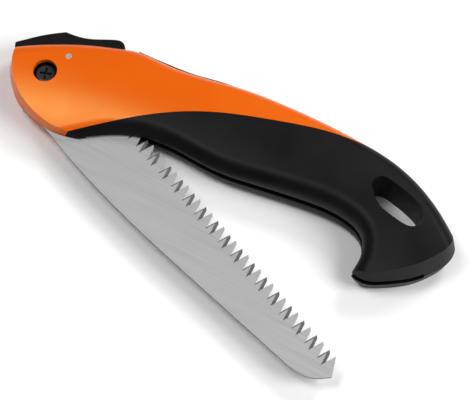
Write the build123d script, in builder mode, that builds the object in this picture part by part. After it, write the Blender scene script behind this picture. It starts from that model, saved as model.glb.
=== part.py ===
from build123d import *
from math import cos, hypot, radians, sin, sqrt, tan
import os

os.makedirs("parts", exist_ok=True)

# A folding pruning saw, half unfolded, lying on its far side.
# All outlines are given in handle coordinates: x runs from the head to the butt, y from the
# finger side to the back, and z is the height above the blade's middle plane.

# ---------------------------------------------------------------- driving dimensions
ORIGIN = (-89.25, 14.75, 10.2)      # where handle coordinates start in the part's frame
PIVOT = (0.5, -0.5)                 # blade pivot axis
LEVER_AXIS = (6.1, 10.8)            # lock lever pin

BLADE_HALF = 0.6                    # half of the 1.2 mm blade
HEAD_SLOT = 1.1                     # half width of the slot around the pivot
GRIP_SLOT = 2.0                     # half width of the slot in the grip
SLOT_STEP_X = 31.0                  # the slot widens from HEAD_SLOT to GRIP_SLOT here
WALL = 2.2                          # thickness of covers and soft grip over the frame

CREST = 11.2                        # half thickness on the crest line, at mid length
CREST_X = 96.0                      # where CREST is measured
CREST_TILT = 0.6                    # degrees by which the faces open towards the butt
CROWN_REACH = 75.0                  # half width of the crowned ring
CROWN_FLOOR = -70.0                 # its underside, far below the handle
CROWN_RADIUS = 90.0                 # across the handle
ARCH_RADIUS = 367.0                 # of the crest line, along the handle
ARCH_Y = -349.5                     # centre of the arch
EDGE_ROUND = 7.0                    # rounding of back, finger side and throat
CORE_ROUND = 4.4                    # the same edges on the frame under the skin
END_DRAFT = 12.0                    # degrees, cut faces of head and butt
BLOCK_HEIGHT = 16.0                 # of the blocks each half is cut from, above its crest
FAR_REST = 10.2                     # flat on the far side, which the saw lies on

FOLD_CLOSED = 18.5                  # degrees from this pose
FOLD_OPEN = -160.0
LEVER_PRESS = 8.0

TOOTH_PITCH = 4.245
TOOTH_COUNT = 38
TOOTH_DEPTH = 5.3                   # of the plain flank at the heel
TOOTH_TOP = (1.45, -0.95)           # front end of the ground top, from the tip
REAR_LEAN = 0.14                    # along the edge per depth, backwards
FRONT_LEAN = 0.47                   # along the edge per depth, forwards
REAR_BEVEL = 0.95                   # width of the ground flanks, seen from the side
FRONT_BEVEL = 1.25
GAP_RISE = 1.0                      # gaps are cut from this far outside the tips
LAST_TIP = (176.8, -54.5)
EDGE_ANGLE = -22.66                 # degrees, line of the tooth tips

CAM_RADIUS = 10.3                   # round end of the tang
CAM_CLEARANCE = 0.9
TANG_CLEARANCE = 0.4                # between the tang's round and the lever over it
NOTCH_DEPTH = 0.9                   # into the tang's round
NOTCH_HALF = 2.1                    # half width of its floor
NOTCH_MOUTH = (1.5, 2.3)            # height above the round and half width there
PAWL_ANGLE = 100.1                  # direction of the pawl from the pivot
BORE_RADIUS = 3.85
RUNNING_GAP = 0.05
BEYOND = 20.0                       # cuts end this far from the middle plane, outside the handle

SCREW_RADIUS = 1.5
SCREW_HEAD_RADIUS = 3.3
SCREW_HEAD = 2.2
SCREW_HOLE_RADIUS = 3.6
SCREW_CROSS = (3.2, 0.7)
SCREW_CROSS_DEPTH = 1.3
SCREW_SEAT = -5.5
SCREW_END = 6.0
SCREW_PLACES = [(37.5, 24.2), (84, 29.5), (126, 27), (189, 14)]

PIVOT_SCREW_RADIUS = 2.5
PIVOT_HEAD_RADIUS = 4.7
NEAR_SEAT = 4.4                     # underside of the pivot screw's head
FAR_SEAT = -3.8                     # washer seat of the pivot nut
RECESS_RADIUS = 5.45

LEVER_HALF = 4.2
LEVER_POCKET = 4.7
FORK_HALF = 1.2
LEVER_PIN_RADIUS = 1.5
LEVER_PIN_HALF = 10.0
PAWL_PIN = (-1.2, 16.6)

LEVER_BOSS_RADIUS = 3.6
BOSS_CLEARANCE = 0.6
PAWL_PIN_RADIUS = 1.0
LEVER_ROUND = 0.8
PAD_GROOVES = 3
PAD_GROOVE_X = 17.6                 # first groove in the sides of the thumb pad
PAD_GROOVE_PITCH = 1.9
PAD_GROOVE_WIDTH = 0.9
PAD_GROOVE_DEPTH = 0.4
PAD_GROOVE_ENDS = (20, 40)          # from inside the head to above the pad

WASHER_RADIUS = 8.5
PIVOT_SCREW_END = -8.6
PIVOT_HEAD_HEIGHT = 2.9
PIVOT_HEAD_ROUND = 1.1
CROSS_TURN = 20.0                   # degrees, the cross recess of the screw head
CROSS_LENGTH = 5.6
CROSS_WIDTH = 1.1
CROSS_DEPTH = 1.8
CROSS_TAPER = 8.0                   # degrees
NUT_WASHER = 0.8                    # thickness
NUT_WASHER_RADIUS = 5.0
NUT_ACROSS_FLATS = 8.0
NUT_HEIGHT = 4.0

SPRING_X = 17.0
SPRING_FLOOR = 14.8
SPRING_TOP = 22.0
SPRING_RADIUS = 1.7
SPRING_WIRE = 0.3
SPRING_CLEARANCE = 0.4
SPRING_PITCH = 1.15

HANDLE = Plane(origin=ORIGIN)

# ---------------------------------------------------------------- outlines
# Back, finger side and throat, closed by wide curves beyond the head and the butt
SIDE_OUTLINE = [
    (-29, -3), (-20.4, 4.9), (-8.6, 12.9), (1.4, 18.6), (11.4, 23.4), (21.4, 27.4),
    (31, 30.4), (45, 30.9), (60, 32.4), (80, 36.4), (100, 38.5), (120, 39.2), (140, 38.7),
    (156, 37), (170, 32.9), (185, 25), (200, 13.5), (210, 2), (211, -14), (200, -27),
    (184, -32), (170, -29), (165, -20), (165.3, -11.6), (161.1, -1.5), (151, 2.7),
    (130, 2), (110, -1.3), (90, -4.1), (70, -3.6), (50, -6.3), (40.3, -11), (30.5, -18),
    (20, -25.5), (5, -31), (-15, -30), (-28, -18),
]
# Cut faces: under the head, from its top corner round to the blade mouth, and round the butt
HEAD_CURVE = [(-22.6, 13), (-20.4, 4.9), (-18.6, -1.5), (-15, -7.5), (-10, -12.9),
              (-5, -16.6), (0, -18.9), (5, -20.5), (10, -21.5), (17, -21.9), (24.5, -20.8),
              (31, -18.5)]
BUTT_CURVE = [(158, -16), (165, -18.3), (170, -19.1), (180, -14.8), (190, -7.2),
              (196.2, 0.7), (199.6, 8.5), (199.2, 14), (194, 20.5), (186, 28)]
# Colour break between the covers and the soft grip
BREAK_CURVE = [(14, -29), (23.6, -20), (33, -12.2), (43, -4.3), (53, 3.2), (63, 9.8),
               (73, 15.3), (83, 19.8), (103, 27), (122, 33), (140, 36.6), (154, 38.6)]
HANGING_HOLE = [(154.8, 22), (156.8, 25.4), (163, 25.4), (173, 22.9), (180.5, 18.5),
                (182.2, 13), (179, 9.7), (171.5, 9.8), (161.5, 12.7), (156.4, 17.6)]
# Space swept by the blade inside the handle, closed by its lines outside it
SLOT_OUTLINE = [(-45, -60), (-45, 45), (-2.5, 45), (-2.5, 9), (9.5, 9.2), (27, 18.6),
                (187.5, 6.9), (192, 2.5), (193.2, -6), (186, -60)]
WIDE_SLOT_ZONE = [(SLOT_STEP_X, -70), (210, -70), (210, 50), (SLOT_STEP_X, 50)]
SURROUND = [(-60, -90), (220, -90), (220, 70), (-60, 70)]       # clear of the whole handle
LEVER_POCKET_OUTLINE = [(-34, 1), (-20.8, 4.7), (-12, 7.6), (-4.5, 9.6), (2.2, 9.8),
                        (10.6, 9.6), (15, 16), (20.8, 19.3), (28.4, 23), (29.4, 25.5),
                        (29.4, 48), (-34, 48)]
LEVER_TOP = [(-21.4, 8.4), (-18.4, 11.5), (-13.4, 16.5), (-8.4, 20.7), (-3.9, 24)]
LEVER_SADDLE = [(-3.9, 24), (1.6, 24.6), (6.6, 25.9), (11.6, 28.2), (17.5, 31.2), (21, 32),
                (23.6, 30.4), (25.3, 26.9)]
LEVER_UNDER = [(19, 22), (13.5, 18.2), (9.4, 12.2),
               (2.8, 11.2), (-4.5, 10.6), (-12, 8.5), (-20.4, 6.1)]
FORK_OUTLINE = [(-30, 0), (-3, 0), (-3, 9.75), (-4.2, 19.5), (-4.2, 30), (-30, 30)]
PAWL_OUTLINE = [(-3, 9.75), (0.3, 10.1), (1.2, 19.5), (-4.2, 19.5)]
SPACER_TOP = [(30, 32.3), (45, 33.0), (60, 34.6), (72, 37.0), (80, 37.6)]
SPACER_UNDER = [(80, 33.1), (60, 29), (45, 27.4), (30, 26.9)]
SPACER_HALF = 1.5
# Back edge of the blade: round the nose, along it, and the wider tang at the pivot
NOSE = [(179.4, -63.5), (175.2, -66.5), (170.5, -68.4), (165.5, -68.6), (160, -67.7)]
SPINE = [(160, -67.7), (130, -59.6), (100, -51.6), (75, -44.6), (50, -36.6), (30, -29.2),
         (17, -23.6)]
TANG_EDGE = [(17, -23.6), (12, -21.8), (5, -20.2)]
TANG_CORNER = (-4.0, 17.2)          # end of the tang's edge, with the blade folded out to -160
TANG_STOP = (-3.5, 9.3)             # where the edge behind it meets the round, likewise
HEEL_FOOT = (11, 3.6)               # foot of the heel, by the pivot
# Ribs are left between these pockets: centre and height, all RIB_POCKET_WIDTH wide
RIB_POCKET_WIDTH = 9.0
RIB_POCKETS = [(49, 24, 8), (60, 24.5, 9), (71, 25.5, 10), (97, 25, 15), (108, 25, 16),
               (139, 23.5, 14)]
RIB_POCKET_DEPTH = 5.5
RIB_POCKET_ROUND = 1.5


def turned(point, degrees, centre=PIVOT):
    """Turn a point of the outline about an axis."""
    c = cos(radians(degrees))
    s = sin(radians(degrees))
    dx = point[0] - centre[0]
    dy = point[1] - centre[1]
    return (centre[0] + dx * c - dy * s, centre[1] + dx * s + dy * c)


def moved_inward(points, inset, closed):
    """Shift an outline that runs clockwise or anticlockwise to its right-hand side."""
    count = len(points)
    shifted = []
    for i, (x, y) in enumerate(points):
        before = points[i - 1] if closed or i > 0 else points[0]
        after = points[(i + 1) % count] if closed or i < count - 1 else points[-1]
        dx = after[0] - before[0]
        dy = after[1] - before[1]
        length = hypot(dx, dy)
        shifted.append((x + inset * dy / length, y - inset * dx / length))
    return shifted


# ---------------------------------------------------------------- shapes shared by the halves
def crown_body(inset):
    """Wide ring segment whose top is the crowned face of the near half."""
    tilt = radians(CREST_TILT)
    ring = Plane(
        origin=HANDLE.from_local_coords((CREST_X, ARCH_Y, 0)),
        x_dir=(cos(tilt), 0, sin(tilt)),
        z_dir=(-sin(tilt), 0, cos(tilt)),
    )
    section = Plane(origin=ring.origin, x_dir=ring.y_dir, z_dir=ring.x_dir)
    radius = CROWN_RADIUS - inset
    shoulder = CREST - CROWN_RADIUS + sqrt(radius**2 - CROWN_REACH**2)
    inner = (ARCH_RADIUS - CROWN_REACH, shoulder)
    outer = (ARCH_RADIUS + CROWN_REACH, shoulder)
    with BuildPart() as crown:
        with BuildSketch(section):
            with BuildLine():
                ThreePointArc(inner, (ARCH_RADIUS, CREST - inset), outer)
                Polyline(outer, (outer[0], CROWN_FLOOR), (inner[0], CROWN_FLOOR), inner)
            make_face()
        revolve(axis=Axis(ring.origin, ring.z_dir), revolution_arc=360)
    return crown.part


def side_body(inset, rounding):
    """Crowned body with rounded back, finger side and throat, overlong at both ends."""
    with BuildPart() as body:
        with BuildSketch(HANDLE):
            with BuildLine():
                Spline(*moved_inward(SIDE_OUTLINE, inset, closed=True), periodic=True)
            make_face()
        extrude(amount=BLOCK_HEIGHT)
        add(crown_body(inset), mode=Mode.INTERSECT)
        rim = body.faces().filter_by(GeomType.TORUS)[0].edges()
        fillet(rim, radius=rounding)
    return body.part


def end_outline(inset):
    """Outline of the end block: the two end curves joined by lines clear of the handle."""
    head = moved_inward(HEAD_CURVE, -inset, closed=False)
    butt = moved_inward(BUTT_CURVE, -inset, closed=False)
    with BuildLine() as line:
        Spline(*head)
        Polyline(head[-1], (60, -40), (140, -40), butt[0])
        Spline(*butt)
        Polyline(butt[-1], (170, 60), (-28, 60), head[0])
    return line.line


def end_body(inset):
    """Drafted block that gives the head and the butt their cut faces."""
    with BuildPart() as body:
        for level in (0, BLOCK_HEIGHT):
            with BuildSketch(HANDLE.offset(level)):
                add(end_outline(inset + level * tan(radians(END_DRAFT))))
                make_face()
        loft(ruled=True)
    return body.part


def half_body(inset, rounding):
    """Outer form of the near half, or the same form set in by a wall thickness."""
    with BuildPart() as body:
        add(side_body(inset, rounding))
        add(end_body(inset), mode=Mode.INTERSECT)
    return body.part


def prism(outline, low, high):
    """Straight-sided solid between two heights."""
    with BuildPart() as solid:
        with BuildSketch(HANDLE.offset(low)):
            with BuildLine():
                Polyline(*outline, close=True)
            make_face()
        extrude(amount=high - low)
    return solid.part


def rod(place, radius, low, high):
    """Round bar or hole parallel to the pivot."""
    with BuildPart() as solid:
        with BuildSketch(HANDLE.offset(low)):
            with Locations(place):
                Circle(radius)
        extrude(amount=high - low)
    return solid.part


def cover_zone():
    """Everything on the back side of the colour break."""
    with BuildPart() as zone:
        with BuildSketch(HANDLE.offset(-BEYOND)):
            with BuildLine():
                Spline(*BREAK_CURVE)
                Polyline(BREAK_CURVE[-1], (154, 60), (-40, 60), (-40, -45), (14, -45),
                         BREAK_CURVE[0])
            make_face()
        extrude(amount=2 * BEYOND)
    return zone.part


def hanging_hole():
    with BuildPart() as hole:
        with BuildSketch(HANDLE.offset(-BEYOND)):
            with BuildLine():
                Spline(*HANGING_HOLE, periodic=True)
            make_face()
        extrude(amount=2 * BEYOND)
    return hole.part


def wide_slot():
    """Slot for the blade in the grip."""
    with BuildPart() as space:
        add(prism(SLOT_OUTLINE, -GRIP_SLOT, GRIP_SLOT))
        add(prism(WIDE_SLOT_ZONE, -GRIP_SLOT, GRIP_SLOT), mode=Mode.INTERSECT)
    return space.part


def blade_space():
    """Whole slot for the blade: narrow around the pivot, wide in the grip."""
    with BuildPart() as space:
        add(prism(SLOT_OUTLINE, -HEAD_SLOT, HEAD_SLOT))
        add(rod(PIVOT, CAM_RADIUS + CAM_CLEARANCE, -HEAD_SLOT, HEAD_SLOT))
        add(wide_slot())
    return space.part


def spring_pocket(low, high):
    """Round pocket across the handle for the lever's spring."""
    floor = Plane(
        origin=HANDLE.from_local_coords((SPRING_X, low, 0)),
        x_dir=(1, 0, 0),
        z_dir=(0, 1, 0),
    )
    with BuildPart() as pocket:
        with BuildSketch(floor):
            Circle(SPRING_RADIUS + SPRING_WIRE + SPRING_CLEARANCE)
        extrude(amount=high - low)
    return pocket.part


def lever_space():
    """Pocket for the lever, open at the back of the head."""
    with BuildPart() as space:
        add(prism(LEVER_POCKET_OUTLINE, -LEVER_POCKET, LEVER_POCKET))
        add(rod(LEVER_AXIS, LEVER_BOSS_RADIUS + BOSS_CLEARANCE, -LEVER_POCKET, LEVER_POCKET))
        add(spring_pocket(SPRING_FLOOR, SPRING_TOP))
    return space.part


def spacer_outline():
    with BuildLine() as line:
        Spline(*SPACER_TOP)
        Line(SPACER_TOP[-1], SPACER_UNDER[0])
        Spline(*SPACER_UNDER)
        Line(SPACER_UNDER[-1], SPACER_TOP[0])
    return line.line


def spacer_body():
    with BuildPart() as body:
        with BuildSketch(HANDLE.offset(-SPACER_HALF)):
            add(spacer_outline())
            make_face()
        extrude(amount=2 * SPACER_HALF)
    return body.part


def far_side(solid, rest):
    """Mirror a form of the near half to the far half, and cut it flat at its rest."""
    with BuildPart() as half:
        add(mirror(solid, about=HANDLE, mode=Mode.PRIVATE))
        add(prism(SURROUND, -BEYOND, -rest), mode=Mode.SUBTRACT)
    return half.part


NEAR_OUTER = half_body(0, EDGE_ROUND)
NEAR_CORE = half_body(WALL, CORE_ROUND)
FAR_OUTER = far_side(NEAR_OUTER, FAR_REST)
FAR_CORE = far_side(NEAR_CORE, FAR_REST - WALL)
SPACER = spacer_body()
SPACES = [blade_space(), lever_space(), hanging_hole(), SPACER]
ZONE = cover_zone()


def screw_holes(radius, low, high):
    """One straight hole for each shell screw."""
    return [rod(place, radius, low, high) for place in SCREW_PLACES]


def rib_pockets(side):
    """Pockets moulded into a frame from its parting face, on the side +1 or -1."""
    with BuildPart() as pockets:
        for x, y, height in RIB_POCKETS:
            with BuildSketch(HANDLE):
                with Locations((x, y)):
                    RectangleRounded(RIB_POCKET_WIDTH, height, RIB_POCKET_ROUND)
            extrude(amount=RIB_POCKET_DEPTH * side)
    return pockets.part


# ---------------------------------------------------------------- frames
with BuildPart() as near_frame:
    add(NEAR_CORE)
    add([
        *SPACES,
        rib_pockets(1),
        rod(PIVOT, RECESS_RADIUS, NEAR_SEAT, BEYOND),
        rod(PIVOT, PIVOT_SCREW_RADIUS, 0, NEAR_SEAT),
        rod(LEVER_AXIS, LEVER_PIN_RADIUS, 0, BEYOND),
        *screw_holes(SCREW_RADIUS, 0, SCREW_END),
    ], mode=Mode.SUBTRACT)
near_frame.part.label = "near_frame"
export_step(near_frame.part, "parts/near_frame.step")

with BuildPart() as far_frame:
    add(FAR_CORE)
    add([
        *SPACES,
        rib_pockets(-1),
        rod(PIVOT, RECESS_RADIUS, -BEYOND, FAR_SEAT),
        rod(PIVOT, PIVOT_SCREW_RADIUS, FAR_SEAT, 0),
        rod(LEVER_AXIS, LEVER_PIN_RADIUS, -BEYOND, 0),
        *screw_holes(SCREW_RADIUS, SCREW_SEAT, 0),
        *screw_holes(SCREW_HOLE_RADIUS, -BEYOND, SCREW_SEAT),
    ], mode=Mode.SUBTRACT)
far_frame.part.label = "far_frame"
export_step(far_frame.part, "parts/far_frame.step")

# ---------------------------------------------------------------- covers
with BuildPart() as near_cover:
    add(NEAR_OUTER)
    add(ZONE, mode=Mode.INTERSECT)
    add([
        NEAR_CORE,
        *SPACES,
        rod(PIVOT, RECESS_RADIUS, 0, BEYOND),
        rod(LEVER_AXIS, LEVER_PIN_RADIUS, 0, BEYOND),
    ], mode=Mode.SUBTRACT)
near_cover.part.label = "near_cover"
export_step(near_cover.part, "parts/near_cover.step")

with BuildPart() as far_cover:
    add(FAR_OUTER)
    add(ZONE, mode=Mode.INTERSECT)
    add([
        FAR_CORE,
        *SPACES,
        rod(PIVOT, RECESS_RADIUS, -BEYOND, 0),
        rod(LEVER_AXIS, LEVER_PIN_RADIUS, -BEYOND, 0),
        *screw_holes(SCREW_HOLE_RADIUS, -BEYOND, SCREW_SEAT),
    ], mode=Mode.SUBTRACT)
far_cover.part.label = "far_cover"
export_step(far_cover.part, "parts/far_cover.step")

# ---------------------------------------------------------------- soft grip
with BuildPart() as near_grip:
    add(NEAR_OUTER)
    add([ZONE, NEAR_CORE, *SPACES], mode=Mode.SUBTRACT)
near_grip.part.label = "near_grip"
export_step(near_grip.part, "parts/near_grip.step")

with BuildPart() as far_grip:
    add(FAR_OUTER)
    add([
        ZONE,
        FAR_CORE,
        *SPACES,
        *screw_holes(SCREW_HOLE_RADIUS, -BEYOND, SCREW_SEAT),
    ], mode=Mode.SUBTRACT)
far_grip.part.label = "far_grip"
export_step(far_grip.part, "parts/far_grip.step")

# ---------------------------------------------------------------- back spacer
with BuildPart() as back_spacer:
    add(SPACER)
back_spacer.part.label = "back_spacer"
export_step(back_spacer.part, "parts/back_spacer.step")

# ---------------------------------------------------------------- shell screws
with BuildPart() as shell_screws:
    for place in SCREW_PLACES:
        add(rod(place, SCREW_RADIUS, SCREW_SEAT, SCREW_END))
        add(rod(place, SCREW_HEAD_RADIUS, SCREW_SEAT - SCREW_HEAD, SCREW_SEAT))
        with BuildSketch(HANDLE.offset(SCREW_SEAT - SCREW_HEAD)):
            with Locations(place):
                Rectangle(*SCREW_CROSS)
                Rectangle(*SCREW_CROSS, rotation=90)
        extrude(amount=SCREW_CROSS_DEPTH, mode=Mode.SUBTRACT)
shell_screws.part.label = "shell_screws"
export_step(shell_screws.part, "parts/shell_screws.step")

# ---------------------------------------------------------------- blade
edge_direction = (cos(radians(EDGE_ANGLE)), sin(radians(EDGE_ANGLE)))
edge_normal = (-edge_direction[1], edge_direction[0])


def on_edge(along, out):
    """Point at a distance along the tooth line from its last tip, and out from it."""
    return (LAST_TIP[0] + along * edge_direction[0] + out * edge_normal[0],
            LAST_TIP[1] + along * edge_direction[1] + out * edge_normal[1])


def ground_side(i):
    """Teeth are ground from the far side (-1) and the near side (+1) in turn."""
    return -1 if i % 2 == 0 else 1


def tooth_gap(i):
    """Gap between tooth i and the next one back, its flanks bevelled through the blade."""
    tip = -i * TOOTH_PITCH
    with BuildPart() as gap:
        for side in (-1, 1):
            rear = tip
            front = tip - TOOTH_PITCH + TOOTH_TOP[0] + TOOTH_TOP[1] * FRONT_LEAN
            if ground_side(i) == side:
                rear += REAR_BEVEL * hypot(1, REAR_LEAN)
            if ground_side(i + 1) == side:
                front -= FRONT_BEVEL * hypot(1, FRONT_LEAN)
            depth = (rear - front) / (REAR_LEAN + FRONT_LEAN)
            with BuildSketch(HANDLE.offset(side * BLADE_HALF)):
                with BuildLine():
                    Polyline(
                        on_edge(front - GAP_RISE * FRONT_LEAN, GAP_RISE),
                        on_edge(rear - depth * REAR_LEAN, -depth),
                        on_edge(rear + GAP_RISE * REAR_LEAN, GAP_RISE),
                        close=True,
                    )
                make_face()
        loft(ruled=True)
    return gap.part


def top_cut(i):
    """Cut that grinds the top of tooth i down from its tip towards its front."""
    tip = -i * TOOTH_PITCH
    outline = [on_edge(tip, 0), on_edge(tip + TOOTH_TOP[0], TOOTH_TOP[1]),
               on_edge(tip + TOOTH_TOP[0], GAP_RISE), on_edge(tip, GAP_RISE)]
    return prism(outline, -BLADE_HALF, BLADE_HALF)


def tang_notch(angle):
    """Notch in the round of the tang, at an angle seen from the pivot."""
    rise, mouth_half = NOTCH_MOUTH
    corners = [(-NOTCH_DEPTH, -NOTCH_HALF), (rise, -mouth_half), (rise, mouth_half),
               (-NOTCH_DEPTH, NOTCH_HALF)]
    return [turned((PIVOT[0] + CAM_RADIUS + dx, PIVOT[1] + dy), angle) for dx, dy in corners]


with BuildPart() as saw_blade:
    with BuildSketch(HANDLE.offset(-BLADE_HALF)):
        with BuildLine():
            heel = -(TOOTH_COUNT - 1) * TOOTH_PITCH
            tang_corner = turned(TANG_CORNER, -FOLD_OPEN)
            Polyline(on_edge(0, 0), on_edge(heel, 0),
                     on_edge(heel - TOOTH_DEPTH * REAR_LEAN, -TOOTH_DEPTH),
                     HEEL_FOOT, PIVOT, turned(TANG_STOP, -FOLD_OPEN), tang_corner)
            Spline(*TANG_EDGE, tang_corner)
            Spline(*SPINE)
            Spline(*NOSE)
            Line(NOSE[0], on_edge(0, 0))
        make_face()
        with Locations(PIVOT):
            Circle(CAM_RADIUS)
            Circle(BORE_RADIUS, mode=Mode.SUBTRACT)
        for angle in (PAWL_ANGLE - FOLD_CLOSED, PAWL_ANGLE - FOLD_OPEN):
            with BuildLine():
                Polyline(*tang_notch(angle), close=True)
            make_face(mode=Mode.SUBTRACT)
    extrude(amount=2 * BLADE_HALF)
    add([tooth_gap(i) for i in range(TOOTH_COUNT - 1)], mode=Mode.SUBTRACT)
    add([top_cut(i) for i in range(1, TOOTH_COUNT)], mode=Mode.SUBTRACT)
saw_blade.part.label = "saw_blade"
export_step(saw_blade.part, "parts/saw_blade.step")

# ---------------------------------------------------------------- pivot
with BuildPart() as pivot_bush:
    add(rod(PIVOT, BORE_RADIUS - RUNNING_GAP, -HEAD_SLOT, HEAD_SLOT))
    add(rod(PIVOT, PIVOT_SCREW_RADIUS, -HEAD_SLOT, HEAD_SLOT), mode=Mode.SUBTRACT)
pivot_bush.part.label = "pivot_bush"
export_step(pivot_bush.part, "parts/pivot_bush.step")


def thrust_washer(low, high):
    with BuildPart() as washer:
        add(rod(PIVOT, WASHER_RADIUS, low, high))
        add(rod(PIVOT, BORE_RADIUS - RUNNING_GAP, low, high), mode=Mode.SUBTRACT)
    return washer.part


with BuildPart() as near_washer:
    add(thrust_washer(BLADE_HALF + RUNNING_GAP, HEAD_SLOT))
near_washer.part.label = "near_washer"
export_step(near_washer.part, "parts/near_washer.step")

with BuildPart() as far_washer:
    add(thrust_washer(-HEAD_SLOT, -BLADE_HALF - RUNNING_GAP))
far_washer.part.label = "far_washer"
export_step(far_washer.part, "parts/far_washer.step")

with BuildPart() as pivot_screw:
    add(rod(PIVOT, PIVOT_SCREW_RADIUS, PIVOT_SCREW_END, NEAR_SEAT))
    with BuildSketch(HANDLE.offset(NEAR_SEAT)):
        with Locations(PIVOT):
            Circle(PIVOT_HEAD_RADIUS)
    extrude(amount=PIVOT_HEAD_HEIGHT)
    fillet(pivot_screw.edges().group_by(Axis.Z)[-1], radius=PIVOT_HEAD_ROUND)
    with BuildSketch(HANDLE.offset(NEAR_SEAT + PIVOT_HEAD_HEIGHT)):
        with Locations(Location(PIVOT, CROSS_TURN)):
            Rectangle(CROSS_LENGTH, CROSS_WIDTH)
            Rectangle(CROSS_WIDTH, CROSS_LENGTH)
    extrude(amount=-CROSS_DEPTH, taper=CROSS_TAPER, mode=Mode.SUBTRACT)
pivot_screw.part.label = "pivot_screw"
export_step(pivot_screw.part, "parts/pivot_screw.step")

with BuildPart() as nut_washer:
    add(rod(PIVOT, NUT_WASHER_RADIUS, FAR_SEAT - NUT_WASHER, FAR_SEAT))
    add(rod(PIVOT, PIVOT_SCREW_RADIUS, FAR_SEAT - NUT_WASHER, FAR_SEAT), mode=Mode.SUBTRACT)
nut_washer.part.label = "nut_washer"
export_step(nut_washer.part, "parts/nut_washer.step")

with BuildPart() as pivot_nut:
    with BuildSketch(HANDLE.offset(FAR_SEAT - NUT_WASHER)):
        with Locations(PIVOT):
            RegularPolygon(NUT_ACROSS_FLATS / 2, 6, major_radius=False)
            Circle(PIVOT_SCREW_RADIUS, mode=Mode.SUBTRACT)
    extrude(amount=-NUT_HEIGHT)
pivot_nut.part.label = "pivot_nut"
export_step(pivot_nut.part, "parts/pivot_nut.step")

# ---------------------------------------------------------------- lock lever
def pad_grooves():
    """Upright grooves in both sides of the thumb pad."""
    low, high = PAD_GROOVE_ENDS
    grooves = []
    for i in range(PAD_GROOVES):
        x = PAD_GROOVE_X + i * PAD_GROOVE_PITCH
        end = x + PAD_GROOVE_WIDTH
        outline = [(x, low), (end, low), (end, high), (x, high)]
        for side in (-1, 1):
            floor = side * (LEVER_HALF - PAD_GROOVE_DEPTH)
            face = side * (LEVER_HALF + 1)
            grooves.append(prism(outline, min(floor, face), max(floor, face)))
    return grooves


with BuildPart() as lock_lever:
    with BuildSketch(HANDLE.offset(-LEVER_HALF)):
        with BuildLine():
            Spline(*LEVER_TOP)
            Spline(*LEVER_SADDLE)
            Polyline(LEVER_SADDLE[-1], *LEVER_UNDER, LEVER_TOP[0])
        make_face()
        with Locations(LEVER_AXIS):
            Circle(LEVER_BOSS_RADIUS)
    extrude(amount=2 * LEVER_HALF)
    sides = lock_lever.faces().sort_by(Axis.Z)
    rim = sides[0].edges() + sides[-1].edges()
    fillet(rim.filter_by(GeomType.BSPLINE), radius=LEVER_ROUND)
    add([
        *pad_grooves(),
        rod(LEVER_AXIS, LEVER_PIN_RADIUS + RUNNING_GAP, -LEVER_HALF, LEVER_HALF),
        rod(PAWL_PIN, PAWL_PIN_RADIUS, -LEVER_HALF, LEVER_HALF),
        prism(FORK_OUTLINE, -FORK_HALF, FORK_HALF),
        prism(PAWL_OUTLINE, -FORK_HALF, FORK_HALF),
        rod(PIVOT, CAM_RADIUS + TANG_CLEARANCE, -FORK_HALF, FORK_HALF),
        rod(turned(PIVOT, LEVER_PRESS, LEVER_AXIS), CAM_RADIUS + TANG_CLEARANCE,
            -FORK_HALF, FORK_HALF),
        spring_pocket(SPRING_FLOOR, SPRING_TOP),
    ], mode=Mode.SUBTRACT)
lock_lever.part.label = "lock_lever"
export_step(lock_lever.part, "parts/lock_lever.step")

with BuildPart() as lock_pawl:
    add(prism(PAWL_OUTLINE, -FORK_HALF, FORK_HALF))
    add(rod(PAWL_PIN, PAWL_PIN_RADIUS, -FORK_HALF, FORK_HALF), mode=Mode.SUBTRACT)
lock_pawl.part.label = "lock_pawl"
export_step(lock_pawl.part, "parts/lock_pawl.step")

with BuildPart() as pawl_pin:
    add(rod(PAWL_PIN, PAWL_PIN_RADIUS, -LEVER_HALF, LEVER_HALF))
pawl_pin.part.label = "pawl_pin"
export_step(pawl_pin.part, "parts/pawl_pin.step")

with BuildPart() as lever_pin:
    add(rod(LEVER_AXIS, LEVER_PIN_RADIUS, -LEVER_PIN_HALF, LEVER_PIN_HALF))
lever_pin.part.label = "lever_pin"
export_step(lever_pin.part, "parts/lever_pin.step")

with BuildPart() as lever_spring:
    with BuildLine():
        coil = Helix(SPRING_PITCH, SPRING_TOP - SPRING_FLOOR - 2 * SPRING_WIRE, SPRING_RADIUS,
                     center=(ORIGIN[0] + SPRING_X, ORIGIN[1] + SPRING_FLOOR + SPRING_WIRE,
                             ORIGIN[2]),
                     direction=(0, 1, 0))
    with BuildSketch(Plane(origin=coil @ 0, z_dir=coil % 0)):
        Circle(SPRING_WIRE)
    sweep(path=coil)
lever_spring.part.label = "lever_spring"
export_step(lever_spring.part, "parts/lever_spring.step")
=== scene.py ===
from math import cos, radians, sin

import bpy
from mathutils import Matrix, Vector


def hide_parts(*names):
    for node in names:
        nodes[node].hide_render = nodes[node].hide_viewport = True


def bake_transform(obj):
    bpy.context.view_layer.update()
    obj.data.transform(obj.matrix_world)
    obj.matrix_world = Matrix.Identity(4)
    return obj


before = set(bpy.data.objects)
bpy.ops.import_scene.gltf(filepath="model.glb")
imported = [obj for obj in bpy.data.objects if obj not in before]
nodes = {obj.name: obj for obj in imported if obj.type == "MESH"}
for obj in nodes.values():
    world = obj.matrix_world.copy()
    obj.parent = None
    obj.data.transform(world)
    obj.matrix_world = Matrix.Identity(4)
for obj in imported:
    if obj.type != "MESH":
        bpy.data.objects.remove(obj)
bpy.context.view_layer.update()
scene = bpy.context.scene

# Handle coordinates, as in the CAD: x to the butt, y to the back, z up from the blade's plane
ORIGIN = Vector((-0.08925, 0.01475, 0.0102))   # where they start in the frame, in metres
EDGE_ANGLE = radians(-22.66)       # line of the tooth tips at rest

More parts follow.
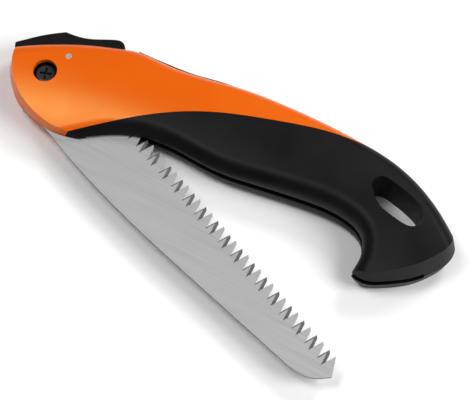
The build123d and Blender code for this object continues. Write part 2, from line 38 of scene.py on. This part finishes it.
GRAIN_DEPTH = 0.0001               # height in metres of every bump texture at full strength
FLANK_SHADE_SLOPE = 0.97                # where a blade normal's upright part is under this, the ground tooth flank is painted in shade
FLAT_SLOPE = 0.995                 # and over this, it is the flat of the blade
FLOOR_REACH = 6.0                  # metres from the middle of the floor to its sides
AMBIENT = 0.15                     # strength of the even white light from all round


def handle_point(x, y, z):
    """Point in the frame, from handle coordinates in millimetres."""
    return ORIGIN + Vector((x, y, z)) / 1000


# ------------------------------------------------------------------ camera
AIM = handle_point(104.07, -11.32, 0)
CAMERA_DISTANCE = 0.760            # metres from what it aims at
CAMERA_TILT = radians(25)          # from straight above
CAMERA_TURN = radians(29)          # about the vertical
FOCAL_LENGTH = 132.3               # millimetres, as is the sensor's width
SENSOR_WIDTH = 36.0
NEAR_CLIP = 0.01


def camera_axes():
    """Right, up and backward directions of the camera."""
    right = Vector((cos(CAMERA_TURN), sin(CAMERA_TURN), 0))
    up = Vector((
        -sin(CAMERA_TURN) * cos(CAMERA_TILT),
        cos(CAMERA_TURN) * cos(CAMERA_TILT),
        sin(CAMERA_TILT),
    ))
    return right, up, right.cross(up)


def make_camera():
    right, up, back = camera_axes()
    data = bpy.data.cameras.new("camera")
    data.lens = FOCAL_LENGTH
    data.sensor_width = SENSOR_WIDTH
    data.clip_start = NEAR_CLIP
    camera = bpy.data.objects.new("camera", data)
    turn = Matrix((right, up, back)).transposed()
    camera.matrix_world = Matrix.Translation(AIM + back * CAMERA_DISTANCE) @ turn.to_4x4()
    scene.collection.objects.link(camera)
    scene.camera = camera


# ------------------------------------------------------------------ material helpers
class Surface:
    """A material under construction: its nodes, its shader, and the object's coordinates."""

    def __init__(self, name):
        self.material = bpy.data.materials.new(name)
        self.material.use_nodes = True
        self.tree = self.material.node_tree
        self.shader = self.tree.nodes["Principled BSDF"]
        self.place = self.add("ShaderNodeTexCoord").outputs["Object"]

    def add(self, kind, **settings):
        node = self.tree.nodes.new(kind)
        for key, value in settings.items():
            setattr(node, key, value)
        return node

    def link(self, source, target):
        self.tree.links.new(source, target)

    def grained(self, angle, stretch):
        """Coordinates turned about the vertical and drawn out along the turned x axis."""
        mapping = self.add("ShaderNodeMapping")
        mapping.inputs["Rotation"].default_value = (0, 0, -angle)
        mapping.inputs["Scale"].default_value = (1 / stretch, 1, 1)
        self.link(self.place, mapping.inputs["Vector"])
        return mapping.outputs["Vector"]

    def noise(self, scale, detail=3.0, place=None):
        """Cloudy value between 0 and 1. The scale counts its clouds in a metre."""
        node = self.add("ShaderNodeTexNoise")
        node.inputs["Scale"].default_value = scale
        node.inputs["Detail"].default_value = detail
        self.link(place or self.place, node.inputs["Vector"])
        return node.outputs["Fac"]

    def pebbles(self, scale):
        """Rounded cells, as in a pebbled skin."""
        node = self.add("ShaderNodeTexVoronoi", feature="SMOOTH_F1")
        node.inputs["Scale"].default_value = scale
        self.link(self.place, node.inputs["Vector"])
        return node.outputs["Distance"]

    def remap(self, value, low, high, start=0.3, end=0.7):
        """The part of a value between start and end, stretched to low and high."""
        node = self.add("ShaderNodeMapRange")
        node.inputs["From Min"].default_value = start
        node.inputs["From Max"].default_value = end
        node.inputs["To Min"].default_value = low
        node.inputs["To Max"].default_value = high
        self.link(value, node.inputs["Value"])
        return node.outputs["Result"]

    def mix(self, factor, first, second):
        """Colour between two, each a colour or another node's output."""
        node = self.add("ShaderNodeMix", data_type="RGBA")
        self.link(factor, node.inputs["Factor"])
        for name, value in (("A", first), ("B", second)):
            socket = [s for s in node.inputs if s.name == name and s.type == "RGBA"][0]
            if isinstance(value, tuple):
                socket.default_value = (*value, 1)
            else:
                self.link(value, socket)
        return [s for s in node.outputs if s.type == "RGBA"][0]

    def bump(self, height, strength):
        node = self.add("ShaderNodeBump")
        node.inputs["Strength"].default_value = strength
        node.inputs["Distance"].default_value = GRAIN_DEPTH
        self.link(height, node.inputs["Height"])
        self.link(node.outputs["Normal"], self.shader.inputs["Normal"])

    def constant(self, name, value):
        """A value that is the same all over the surface, on the shader's own socket."""
        self.shader.inputs[name].default_value = value

    def paint(self, color, roughness=None):
        """Link a colour, and where it varies a roughness, to the shader."""
        self.link(color, self.shader.inputs["Base Color"])
        if roughness:
            self.link(roughness, self.shader.inputs["Roughness"])


def orange_plastic():
    """Satin moulded cover: faint flow marks and a fine spark-eroded texture."""
    s = Surface("orange_plastic")
    flow = s.noise(30, detail=0)
    color = s.mix(s.remap(flow, 0, 1), (0.76, 0.103, 0.001), (0.79, 0.114, 0.001))
    s.paint(color, s.remap(s.noise(90, detail=0), 0.29, 0.34))
    s.bump(s.noise(1600, detail=2), 0.04)
    s.constant("Specular Tint", (1.0, 0.95, 0.30, 1))
    s.constant("Specular IOR Level", 0.55)
    return s.material


def soft_grip():
    """Black elastomer: fine pebbled skin with duller patches from handling."""
    s = Surface("soft_grip")
    rub = s.noise(60, detail=4)
    color = s.mix(s.remap(rub, 0, 1), (0.003, 0.003, 0.0035), (0.006, 0.006, 0.0065))
    s.paint(color, s.remap(rub, 0.42, 0.50))
    s.bump(s.pebbles(2400), 0.12)
    s.constant("Specular IOR Level", 0.13)
    return s.material


def dark_plastic(name, grey, roughness):
    """Dark moulded plastic with a fine matt texture."""
    s = Surface(name)
    flow = s.noise(90, detail=4)
    color = s.mix(s.remap(flow, 0, 1), (grey * 0.8,) * 3, (grey * 1.25,) * 3)
    s.paint(color, s.remap(s.noise(300), roughness - 0.05, roughness + 0.07))
    s.bump(s.noise(3000, detail=2), 0.15)
    s.constant("Specular IOR Level", 0.14)
    return s.material


def steel(name, grey, roughness):
    """Plated small steel part: faint cloudy patches and fine scratches."""
    s = Surface(name)
    cloud = s.noise(400, detail=4)
    color = s.mix(s.remap(cloud, 0, 1), (grey * 0.85,) * 3, (grey * 1.1,) * 3)
    s.paint(color, s.remap(s.noise(1500), roughness - 0.06, roughness + 0.08))
    s.bump(s.noise(2500, detail=2), 0.05)
    s.constant("Metallic", 0.5)
    return s.material


def blade_steel():
    """Plated blade: fine grinding lines along its edge, and painted shade on the ground flanks of
    the teeth, set by how far they slope from the flat.
    """
    s = Surface("blade_steel")
    lines = s.noise(1400, detail=3, place=s.grained(EDGE_ANGLE, 60))
    cloud = s.noise(45, detail=4)
    flat = s.mix(s.remap(lines, 0, 1), (0.41, 0.41, 0.41), (0.46, 0.46, 0.46))
    flat = s.mix(s.remap(cloud, 0, 0.25), flat, (0.385, 0.385, 0.39))
    normal = s.add("ShaderNodeSeparateXYZ")
    s.link(s.add("ShaderNodeNewGeometry").outputs["True Normal"], normal.inputs["Vector"])
    slope = s.add("ShaderNodeMath", operation="ABSOLUTE")
    s.link(normal.outputs["Z"], slope.inputs[0])
    # painted shade: where the blade's normal slopes away from upright, on the ground tooth flanks,
    # the colour goes to dark grey
    flank_shade = s.remap(slope.outputs["Value"], 1, 0, start=FLANK_SHADE_SLOPE, end=FLAT_SLOPE)
    s.paint(s.mix(flank_shade, flat, (0.12, 0.12, 0.122)), s.remap(lines, 0.34, 0.44))
    s.bump(lines, 0.04)
    s.constant("Metallic", 0.3)
    return s.material


# ------------------------------------------------------------------ carried-over CAD nodes
def dress(names, material):
    """Give CAD nodes a finished material in place of their plain one."""
    for name in names:
        data = nodes[name].data
        data.materials.clear()
        data.materials.append(material)


def dress_cad_nodes():
    dress(["near_cover", "far_cover"], orange_plastic())
    dress(["near_grip", "far_grip"], soft_grip())
    dress(["near_frame", "far_frame", "back_spacer"], dark_plastic("frame_plastic", 0.006, 0.5))
    dress(["lock_lever"], dark_plastic("lever_plastic", 0.006, 0.38))
    dress(["saw_blade"], blade_steel())
    dress(["pivot_screw", "shell_screws"], steel("dark_steel", 0.03, 0.35))
    dress(["pivot_nut", "nut_washer", "pivot_bush", "near_washer", "far_washer", "lock_pawl",
           "pawl_pin", "lever_pin", "lever_spring"], steel("plain_steel", 0.55, 0.3))


# ------------------------------------------------------------------ lever spring
def make_spring():
    """Copy of the lever spring's coil as an object of its own, baked in place; the CAD node is
    hidden.
    """
    spring = bpy.data.objects.new("thumb_spring", nodes["lever_spring"].data.copy())
    scene.collection.objects.link(spring)
    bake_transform(spring)
    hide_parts("lever_spring")


# ------------------------------------------------------------------ floor and light
def make_floor():
    corners = [(-1, -1), (1, -1), (1, 1), (-1, 1)]
    data = bpy.data.meshes.new("floor")
    data.from_pydata([(FLOOR_REACH * x, FLOOR_REACH * y, 0) for x, y in corners], [], [range(4)])
    floor = bpy.data.objects.new("floor", data)
    scene.collection.objects.link(floor)
    s = Surface("floor")
    s.paint(s.mix(s.remap(s.noise(3), 0, 1), (0.96, 0.96, 0.96), (0.98, 0.98, 0.98)))
    s.constant("Roughness", 0.9)
    data.materials.append(s.material)


def area_light(name, place, aim, size, power):
    data = bpy.data.lights.new(name, "AREA")
    data.shape = "RECTANGLE"
    data.size, data.size_y = size
    data.energy = power
    light = bpy.data.objects.new(name, data)
    light.location = place
    light.rotation_euler = (Vector(aim) - Vector(place)).to_track_quat("-Z", "Y").to_euler()
    scene.collection.objects.link(light)


def make_lights():
    area_light("right_box", place=(1.00, 0.25, 0.95), aim=(0, 0, 0), size=(0.6, 0.9), power=12)
    area_light("head_box", place=(-0.42, -0.15, 1.25), aim=(-0.05, 0, 0), size=(0.5, 0.5), power=7)
    area_light("back_box", place=(0.26, 0.86, 0.92), aim=(0.10, 0, 0), size=(0.45, 0.30), power=5)
    world = bpy.data.worlds.new("studio")
    world.use_nodes = True
    background = world.node_tree.nodes["Background"]
    background.inputs["Color"].default_value = (1, 1, 1, 1)
    background.inputs["Strength"].default_value = AMBIENT
    scene.world = world
    scene.view_settings.view_transform = "Standard"


make_camera()
dress_cad_nodes()
make_spring()
make_floor()
make_lights()
